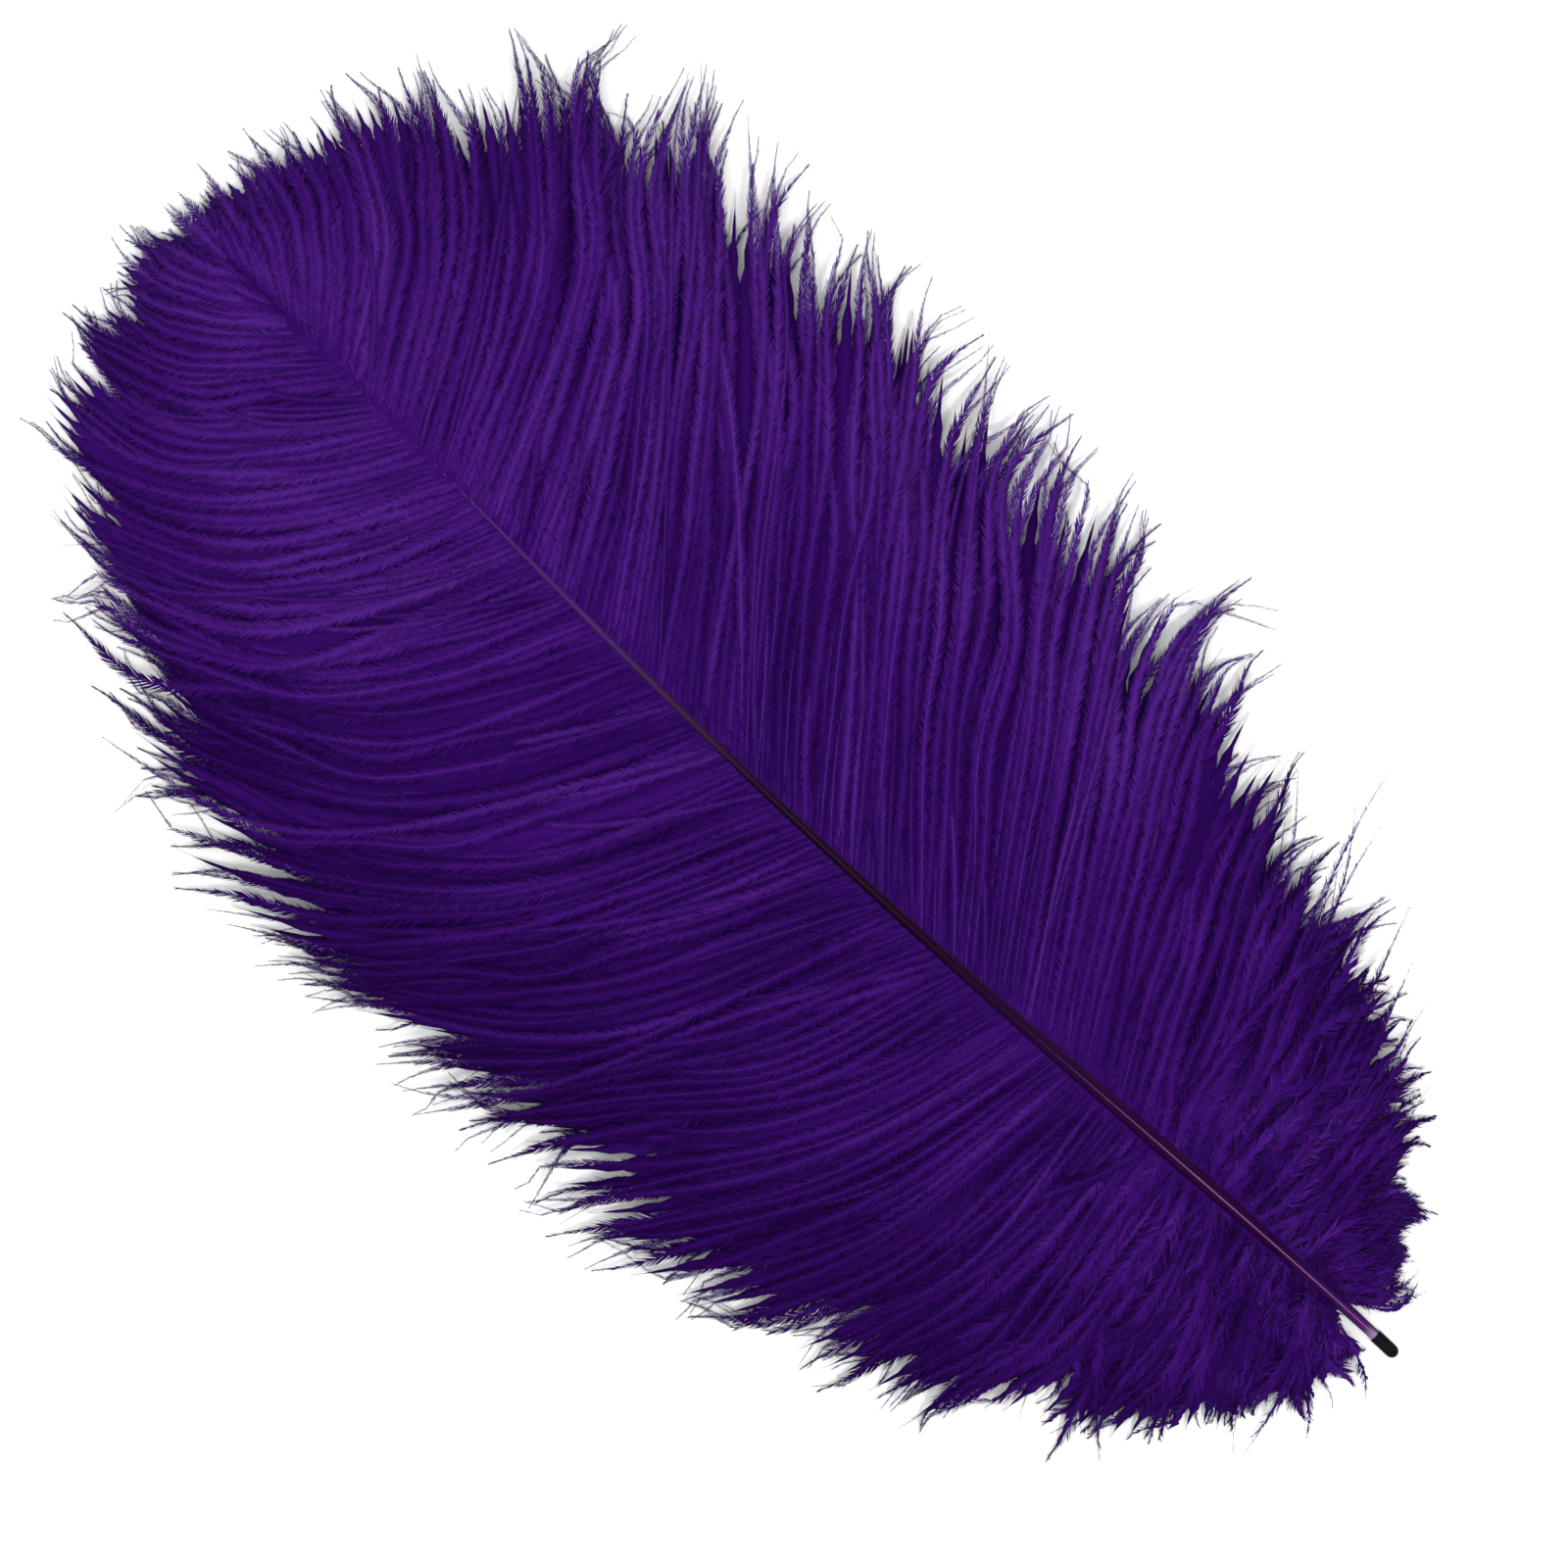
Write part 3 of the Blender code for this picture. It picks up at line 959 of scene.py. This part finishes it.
def barbule_tones(barbs, owner, share, wild):
    """Each barbule's tone: its barb's own, with painted end shade (paler on the far side's middle), a painted
    sheen, darker near the shaft along the middle, and soft waves of painted shade and light.
    """
    root = barbs["root"][owner]
    tone = barbs["tone"][owner] - barbs["fade"][owner] * smooth((share - 0.25) / 0.6)
    bloom = smooth(share / 0.25) * (1 - smooth((share - 0.4) / 0.3))
    tone += barbs["bloom"][owner] * bloom
    tone -= 0.15 * (1 - smooth(share / 0.4)) * middle_part(root)
    # Soft waves of painted shade and light, strongest in the down.
    shade_waves = 0.07 * np.sin(2 * math.pi * (1.7 * share + root / (31 * MM)))
    shade_waves += 0.07 * np.sin(2 * math.pi * (3.1 * share - root / (17 * MM)))
    return np.clip(tone + shade_waves * (0.6 + 1.4 * wild), 0, 1)


def barbule_mesh(barbs, draw):
    """Bent barbules down both edges of each barb: four points and two triangles each."""
    course = barbs["course"]
    length = course_lengths(course)
    counts = (length / barbs["spacing"]).astype(int)
    owner = np.concatenate([np.repeat(np.arange(len(course)), counts)] * 2)
    edge = np.repeat((1.0, -1.0), counts.sum())
    number = np.concatenate([np.arange(count) for count in counts] * 2)
    barbules = len(owner)
    share = (number + draw.uniform(0, 1, barbules)) / counts[owner]
    share = np.clip(share, 0, 0.999) ** BARBULE_CROWDING
    travelled = share * length[owner]
    wild = wildness(barbs["root"][owner])

    place = share * (PATH_POINTS - 1)
    index = place.astype(int)
    low = course[owner, index]
    high = course[owner, index + 1]
    base = low + (high - low) * (place - index)[:, None]
    heading = unit(high - low)
    across = level_across(heading) * edge[:, None]

    swell = LEAST_SWELL + (1 - LEAST_SWELL) * smooth(travelled / SWELL_LENGTH)
    ending = np.minimum(TAPER_LENGTH, TAPER_SHARE * length)[owner]
    taper = LEAST_TAPER + (1 - LEAST_TAPER) * smooth((1 - share) * length[owner] / ending)
    size = BARBULE_LENGTH * swell * taper * draw.uniform(*BARBULE_LENGTHS, barbules)
    size *= (1 + 0.9 * wild) * barbs["fullness"][owner]

    lean = 1 - 0.6 * smooth((share - 0.6) / 0.4)
    first = draw.normal(*BARBULE_ANGLE, barbules) * lean * (1 - 0.45 * wild)
    first += 8 * wild * draw.normal(0, 1, barbules)
    rate = draw.uniform(0.8, 1.6, len(course))[owner] / MATTING_LENGTH
    phase = draw.uniform(0, 9, len(course))[owner]
    matting = MATTING_ANGLE * np.sin(rate * travelled + phase) * edge
    second = draw.normal(*BARBULE_END_ANGLE, barbules) * lean * (1 - 0.7 * wild)
    second += wild * (matting + draw.normal(0, 12, barbules))
    bend = base
    joints = []
    for angle, rise in ((first, BARBULE_RISE), (second, BARBULE_FALL)):
        angle = np.radians(angle)[:, None]
        bend = bend + size[:, None] * 0.5 * (heading * np.cos(angle) + across * np.sin(angle))
        bend[:, 2] += size * 0.5 * draw.normal(*rise, barbules)
        joints.append(bend)

    half = heading * (barbs["width"][owner] / 2 * (1 - 0.35 * wild))[:, None]
    points = np.stack((base - half, base + half, joints[0] + half * 0.6, joints[1]), axis=1)
    points[:, :, 2] = np.maximum(points[:, :, 2], SURFACE_CLEARANCE)
    corner = np.arange(barbules) * 4
    triangles = np.stack((corner, corner + 1, corner + 2, corner + 2, corner + 1, corner + 3), axis=1)
    triangles = triangles.reshape(-1, 3)
    flipped = np.repeat(edge > 0, 2)
    triangles[flipped] = triangles[flipped][:, ::-1]
    # reach runs from the spine to each barbule's tip and carries the painted highlight and shade, weaker in
    # the down.
    return points.reshape(-1, 3), triangles, {
        "along": np.repeat(share, 4),
        "reach": np.tile((0.0, 0.0, 0.5, 1.0), barbules) * (1 - 0.4 * np.repeat(wild, 4)),
        "tone": np.repeat(barbule_tones(barbs, owner, share, wild), 4),
        "spread": np.tile((-0.004, 0.004, 0.002, 0.0), barbules),
    }


def tone_level(tone):
    """Tones from 0 to 1 as whole numbers, one for each row of barbules in the colour map."""
    return np.minimum((tone * TONES).astype(int), TONES - 1)


def map_places(along, row, part):
    """Places in the colour map: across it by the share along a barb, and up its row by a part of the row."""
    height = (row + ROW_EDGE + (1 - 2 * ROW_EDGE) * part) / (TONES + SPINE_TONES)
    return np.stack((MAP_EDGE + (1 - 2 * MAP_EDGE) * along, height), axis=1)


def barb_piece(name, barbs, draw, materials):
    """One piece: some neighbouring barbs of one side, spines and barbules in one mesh."""
    wild = wildness(barbs["root"])
    spine_points, spine_triangles, spine_along = spine_mesh(barbs["course"], wild)
    points, triangles, looks = barbule_mesh(barbs, draw)
    level = tone_level(looks["tone"])
    places = map_places(np.clip(looks["along"] + looks["spread"], 0, 1), level, looks["reach"])

    spine_level = draw.choice(SPINE_TONES, len(wild), p=SPINE_TONE_SHARES)
    # Spines are dimmed in the down and under the barbs' painted end shade.
    spine_level = spine_level * (1 - wild) * (1 - 1.1 * np.maximum(barbs["fade"], 0)) // 1
    spine_level = np.repeat(spine_level, len(spine_along) // len(spine_level))
    part = np.tile((0.0, 0.5, 1.0), len(spine_along) // 3)
    spine_places = map_places(spine_along, TONES + spine_level, part)

    all_triangles = np.concatenate((triangles, spine_triangles + len(points)))
    piece = new_object(name, np.concatenate((points, spine_points)) + frame_shift(), all_triangles)
    mesh = piece.data
    tone = np.concatenate(((level + 0.5) / TONES, (spine_level + 0.5) / SPINE_TONES))
    add_attribute(mesh, "along", np.concatenate((looks["along"], spine_along)))
    add_attribute(mesh, "reach", np.concatenate((looks["reach"], np.zeros(len(spine_along)))))
    add_attribute(mesh, "tone", tone)
    add_colour_map(mesh, np.concatenate((places, spine_places)), all_triangles)
    for material in materials:
        mesh.materials.append(material)
    slots = np.zeros(len(all_triangles), dtype=np.int32)
    slots[len(triangles):] = 1
    mesh.polygons.foreach_set("material_index", slots)
    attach(piece, "root")
    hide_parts("feather")
    return piece


def ribbon_piece(name, course, tone, material):
    """The undercoat of one side: ridged ribbons with toothed edges, pointed at their ends."""
    count, rings = course.shape[:2]
    share = np.linspace(0, 1, rings)
    across = level_across(unit(np.gradient(course, axis=1)))
    opening = RIBBON_ROOT_WIDTH + (1 - RIBBON_ROOT_WIDTH) * smooth(share / RIBBON_ROOT_SHARE)
    closing = 1 - smooth((share - RIBBON_POINT_START) / (1 - RIBBON_POINT_START))
    teeth = 1 + RIBBON_TOOTH * (-1.0) ** np.arange(rings)
    half = (RIBBON_HALF_WIDTH * opening * closing * teeth)[None, :, None] * across
    sag = np.array((0, 0, RIBBON_SAG))
    points = np.stack((course + half - sag, course, course - half - sag), axis=2)
    points[..., 2] = np.maximum(points[..., 2], SURFACE_CLEARANCE)
    ring = np.arange(count)[:, None] * rings + np.arange(rings - 1)[None, :]
    first = ring[:, :, None] * 3 + np.arange(2)
    quads = np.stack((first, first + 1, first + 4, first + 3), axis=-1).reshape(-1, 4)
    piece = new_object(name, points.reshape(-1, 3) + frame_shift(), quads)
    mesh = piece.data
    along = np.tile(np.repeat(share, 3), count)
    # reach paints a highlight along each ribbon's ridge and shade on its sagging edges.
    reach = np.tile((1.0, 0.3, 1.0), count * rings)
    level = tone_level(np.repeat(tone, rings * 3))
    add_attribute(mesh, "along", along)
    add_attribute(mesh, "reach", reach)
    add_attribute(mesh, "tone", (level + 0.5) / TONES)
    add_colour_map(mesh, map_places(along, level, reach), quads)
    mesh.materials.append(material)
    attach(piece, "root")
    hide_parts("feather")
    return piece


def make_side(row, materials):
    """The barbs and the undercoat of one side. The barbs are split by root into pieces of like size."""
    grown = SideBarbs(row["side"], row["keys"], BARB_SEED + row["side"])
    grown.add_vane()
    grown.add_strays()
    for kind in row["loose"]:
        grown.add_loose(kind)
    ribbon_piece("undercoat_" + row["word"], *grown.undercoat(), materials[0])
    barbs = grown.joined()
    weight = np.cumsum(course_lengths(barbs["course"]) / barbs["spacing"])
    group = np.minimum((weight / weight[-1] * PIECES_PER_SIDE).astype(int), PIECES_PER_SIDE - 1)
    for number in range(PIECES_PER_SIDE):
        draw = np.random.default_rng((BARB_SEED, row["side"] + 1, number))
        picked = {trait: values[group == number] for trait, values in barbs.items()}
        piece = barb_piece("barbs_%s_%d" % (row["word"], number + 1), picked, draw, materials)
        print("piece", piece.name, len(piece.data.polygons))


def make_barbs():
    materials = (barbule_material(), spine_material())
    for row in SIDES:
        make_side(row, materials)


def shaft_material():
    """Stained horn: a pale band at the cap, clear violet, then dark maroon, and brown-violet to the tip. One
    flank is painted with shade near the quill and a grey-brown reflection further up.
    """
    nodes = Nodes("shaft")
    colour = nodes.ramp(nodes.attribute("along"), (
        (0.0205, (0.230, 0.180, 0.300)),
        (0.0255, (0.060, 0.013, 0.100)),
        (0.055, (0.032, 0.005, 0.062)),
        (0.10, (0.014, 0.0009, 0.026)),
        (0.30, (0.011, 0.0007, 0.020)),
        (0.42, (0.004, 0.0004, 0.006)),
        (0.54, (0.005, 0.0008, 0.008)),
        (0.60, (0.022, 0.008, 0.032)),
        (0.68, (0.038, 0.012, 0.080)),
        (1.0, (0.044, 0.008, 0.125)),
    ))
    # Painted light on one flank: painted shade near the quill, a grey-brown painted reflection further up.
    flank = nodes.ramp(nodes.attribute("along"), (
        (0.0, (0.032, 0.007, 0.060)),
        (0.12, (0.020, 0.0035, 0.034)),
        (0.36, (0.020, 0.007, 0.022)),
        (0.60, (0.024, 0.008, 0.032)),
        (0.70, (0.038, 0.012, 0.085)),
    ))
    both = nodes.mix("MIX", nodes.attribute("flank"), colour, flank)
    nodes.link(both, nodes.shader.inputs["Base Color"])
    nodes.constants(Roughness=0.15, Specular_IOR_Level=0.11, Specular_Tint=(1.0, 0.4, 0.95, 1.0))
    return nodes.material


def make_shaft():
    """The quill and shaft as one smooth tapering piece, rounded above and grooved below."""
    shoulder = CAP_LENGTH - CAP_OVERLAP
    distances = shoulder + (SHAFT_LENGTH - shoulder) * np.linspace(0, 1, SHAFT_RINGS)
    centres = shaft_points(distances)
    widths = shaft_widths(distances)
    widths[-1] = SHAFT_END_WIDTH
    angles = 2 * math.pi * np.arange(SHAFT_SIDES) / SHAFT_SIDES
    across = np.cos(angles)
    up = np.sin(angles)
    groove = GROOVE_DEPTH * np.exp(-((angles - 1.5 * math.pi) / GROOVE_ANGLE) ** 2)
    groove_share = smooth((distances - GROOVE_START) / GROOVE_RISE)
    height = up[None, :] + groove[None, :] * groove_share[:, None]
    points = np.zeros((SHAFT_RINGS, SHAFT_SIDES, 3))
    points[:, :, 0] = centres[:, None, 0]
    points[:, :, 1] = centres[:, None, 1] + across[None, :] * widths[:, None] / 2
    points[:, :, 2] = centres[:, None, 2] + height * widths[:, None] * SHAFT_HEIGHT_SHARE / 2
    ring = np.arange(SHAFT_SIDES)
    following = (ring + 1) % SHAFT_SIDES
    first = (np.arange(SHAFT_RINGS - 1) * SHAFT_SIDES)[:, None]
    quads = np.stack((first + ring, first + SHAFT_SIDES + ring, first + SHAFT_SIDES + following,
                      first + following), axis=-1).reshape(-1, 4)
    piece = new_object("shaft", points.reshape(-1, 3) + frame_shift(), quads)
    add_attribute(piece.data, "along", np.repeat(distances / SHAFT_LENGTH, SHAFT_SIDES))
    # flank marks the side of the shaft that takes the painted shade and reflection.
    add_attribute(piece.data, "flank", np.tile(smooth((-across - 0.45) / 0.3), SHAFT_RINGS))
    piece.data.materials.append(shaft_material())
    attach(piece, "root")
    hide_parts("feather")
    return piece


def cap_material():
    """Black dip: thick, slightly uneven, satin."""
    nodes = Nodes("quill_cap")
    noise = nodes.add("ShaderNodeTexNoise")
    noise.inputs["Scale"].default_value = 900
    coordinates = nodes.add("ShaderNodeTexCoord")
    nodes.link(coordinates.outputs["Object"], noise.inputs["Vector"])
    colour = nodes.ramp(noise.outputs["Fac"], ((0.3, (0.002, 0.002, 0.003)), (0.7, (0.004, 0.004, 0.006))))
    nodes.link(colour, nodes.shader.inputs["Base Color"])
    bump = nodes.add("ShaderNodeBump")
    bump.inputs["Strength"].default_value = 0.25
    bump.inputs["Distance"].default_value = 0.0001
    nodes.link(noise.outputs["Fac"], bump.inputs["Height"])
    nodes.link(bump.outputs["Normal"], nodes.shader.inputs["Normal"])
    nodes.constants(Roughness=0.5, Specular_IOR_Level=0.05)
    return nodes.material


def make_cap():
    """The solid cap keeps its shape and takes the dipped black finish."""
    cap = bpy.data.objects["quill_cap"]
    cap.data.materials.clear()
    cap.data.materials.append(cap_material())


def make_camera():
    """Straight above the photograph's middle, rolled so that the shaft lies as it does there."""
    distance = FRAME_PIXELS * PIXEL * LENS / SENSOR
    along = TIP_DIRECTION_PIXEL
    middle = (FRAME_PIXELS / 2 - QUILL_PIXEL[0], FRAME_PIXELS / 2 - QUILL_PIXEL[1])
    forward = (middle[0] * along[0] + middle[1] * along[1]) * PIXEL
    sideways = (middle[0] * along[1] - middle[1] * along[0]) * PIXEL
    shift = frame_shift()
    camera = bpy.data.cameras.new("camera")
    camera.lens = LENS
    camera.sensor_width = SENSOR
    camera.clip_start = 0.01
    eye = bpy.data.objects.new("camera", camera)
    eye.location = (shift[0] + forward, shift[1] + sideways, distance + MEAN_HEIGHT)
    eye.rotation_euler = (0, 0, math.atan2(along[1], along[0]))
    bpy.context.scene.collection.objects.link(eye)
    bpy.context.scene.camera = eye


def new_area_light(name, place, size, energy):
    light = bpy.data.lights.new(name, "AREA")
    light.shape = "DISK"
    light.size = size
    light.energy = energy
    lamp = bpy.data.objects.new(name, light)
    lamp.location = place
    lamp.rotation_mode = "QUATERNION"
    lamp.rotation_quaternion = (-Vector(place)).to_track_quat("-Z", "Y")
    bpy.context.scene.collection.objects.link(lamp)


def make_studio():
    """A pale floor, a pale room, a large soft light overhead and a smaller one that the shaft mirrors."""
    size = FLOOR_HALF
    points = np.array(((-size, -size, 0), (size, -size, 0), (size, size, 0), (-size, size, 0)))
    floor = new_object("floor", points, np.array(((0, 1, 2, 3),)))
    nodes = Nodes("floor")
    nodes.constants(Roughness=0.9, Specular_IOR_Level=0.1)
    nodes.shader.inputs["Base Color"].default_value = (0.9, 0.9, 0.9, 1)
    floor.data.materials.append(nodes.material)
    world = bpy.data.worlds.new("studio")
    world.use_nodes = True
    background = world.node_tree.nodes["Background"]
    background.inputs["Color"].default_value = (1, 1, 1, 1)
    background.inputs["Strength"].default_value = ROOM_STRENGTH
    bpy.context.scene.world = world
    new_area_light("overhead", (0.75, 0.25, 2.2), 2.6, 36)
    new_area_light("key", (-0.70, 0.02, 1.45), 0.4, 13)
    bpy.context.scene.view_settings.view_transform = "Standard"


make_camera()
make_studio()
make_shaft()
make_cap()
make_barbs()
